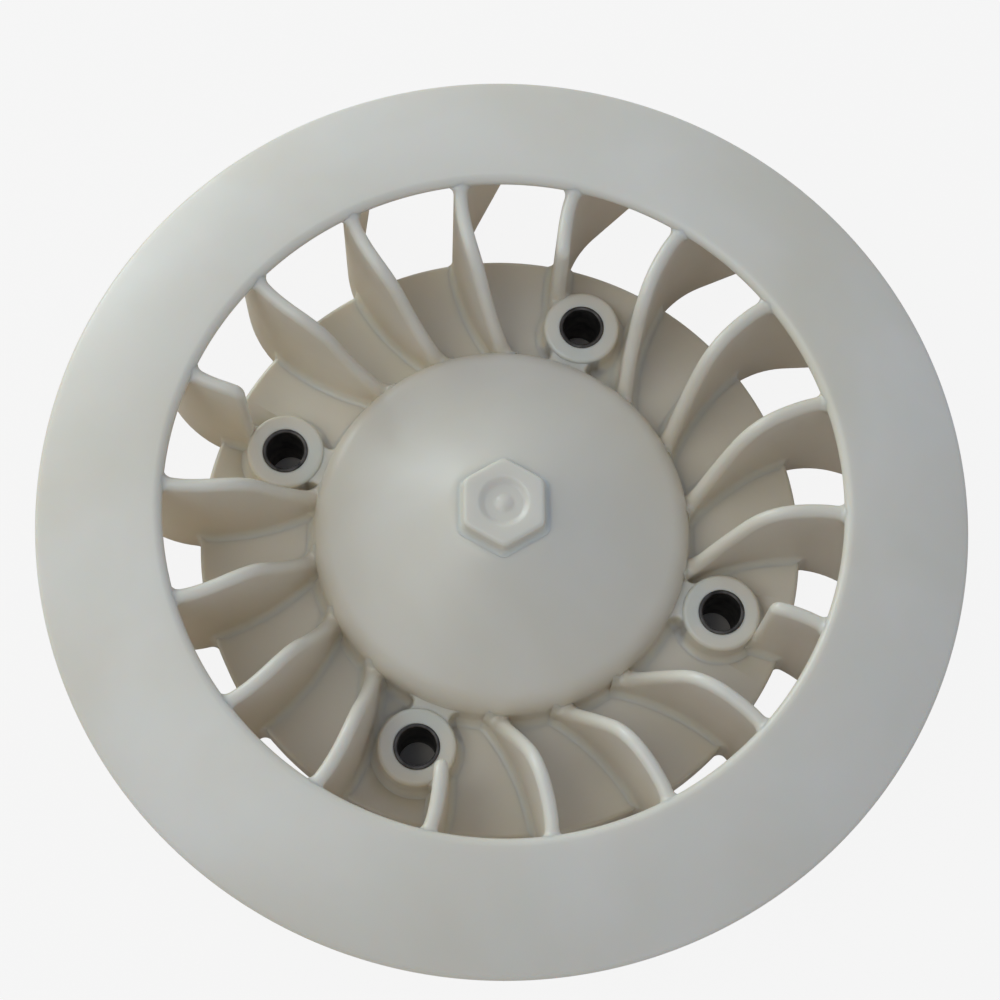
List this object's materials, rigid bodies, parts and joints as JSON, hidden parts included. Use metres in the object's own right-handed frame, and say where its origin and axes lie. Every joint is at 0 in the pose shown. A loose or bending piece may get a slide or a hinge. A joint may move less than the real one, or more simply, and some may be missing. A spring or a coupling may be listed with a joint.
{
  "type": "engine cooling fan",
  "caption": "Shrouded radial cooling fan: curved blades between a conical intake ring and a domed hub with sleeved bolt bosses, for the flywheel of a small air-cooled engine.",
  "frame": {"origin": "centre of the rear seat plane, where the sleeves rest on the flywheel", "axes": "+Z along the spin axis towards the air intake; +Y a fixed radial direction, 21.1 degrees anticlockwise of the first bolt hole as seen from the intake"},
  "size_m": [0.1478, 0.1478, 0.0342],
  "materials": {
    "natural_nylon": "natural off-white moulded nylon, slightly translucent, satin to semi-gloss",
    "sleeve_steel": "plain steel tube with a dull oiled surface"
  },
  "bodies": {
    "root": {"shroud_ring": "natural_nylon", "hub_dome": "natural_nylon", "hub_flange": "natural_nylon", "centre_stub": "natural_nylon", "blade_01": "natural_nylon", "blade_02": "natural_nylon", "blade_03": "natural_nylon", "blade_04": "natural_nylon", "blade_05": "natural_nylon", "blade_06": "natural_nylon", "blade_07": "natural_nylon", "blade_08": "natural_nylon", "blade_09": "natural_nylon", "blade_10": "natural_nylon", "blade_11": "natural_nylon", "blade_12": "natural_nylon", "blade_13": "natural_nylon", "blade_14": "natural_nylon", "blade_15": "natural_nylon", "blade_16": "natural_nylon", "blade_17": "natural_nylon", "blade_18": "natural_nylon", "bolt_boss_1": "natural_nylon", "bolt_boss_2": "natural_nylon", "bolt_boss_3": "natural_nylon", "bolt_boss_4": "natural_nylon", "boss_sleeve_1": "sleeve_steel", "boss_sleeve_2": "sleeve_steel", "boss_sleeve_3": "sleeve_steel", "boss_sleeve_4": "sleeve_steel"}
  },
  "joints": []
}
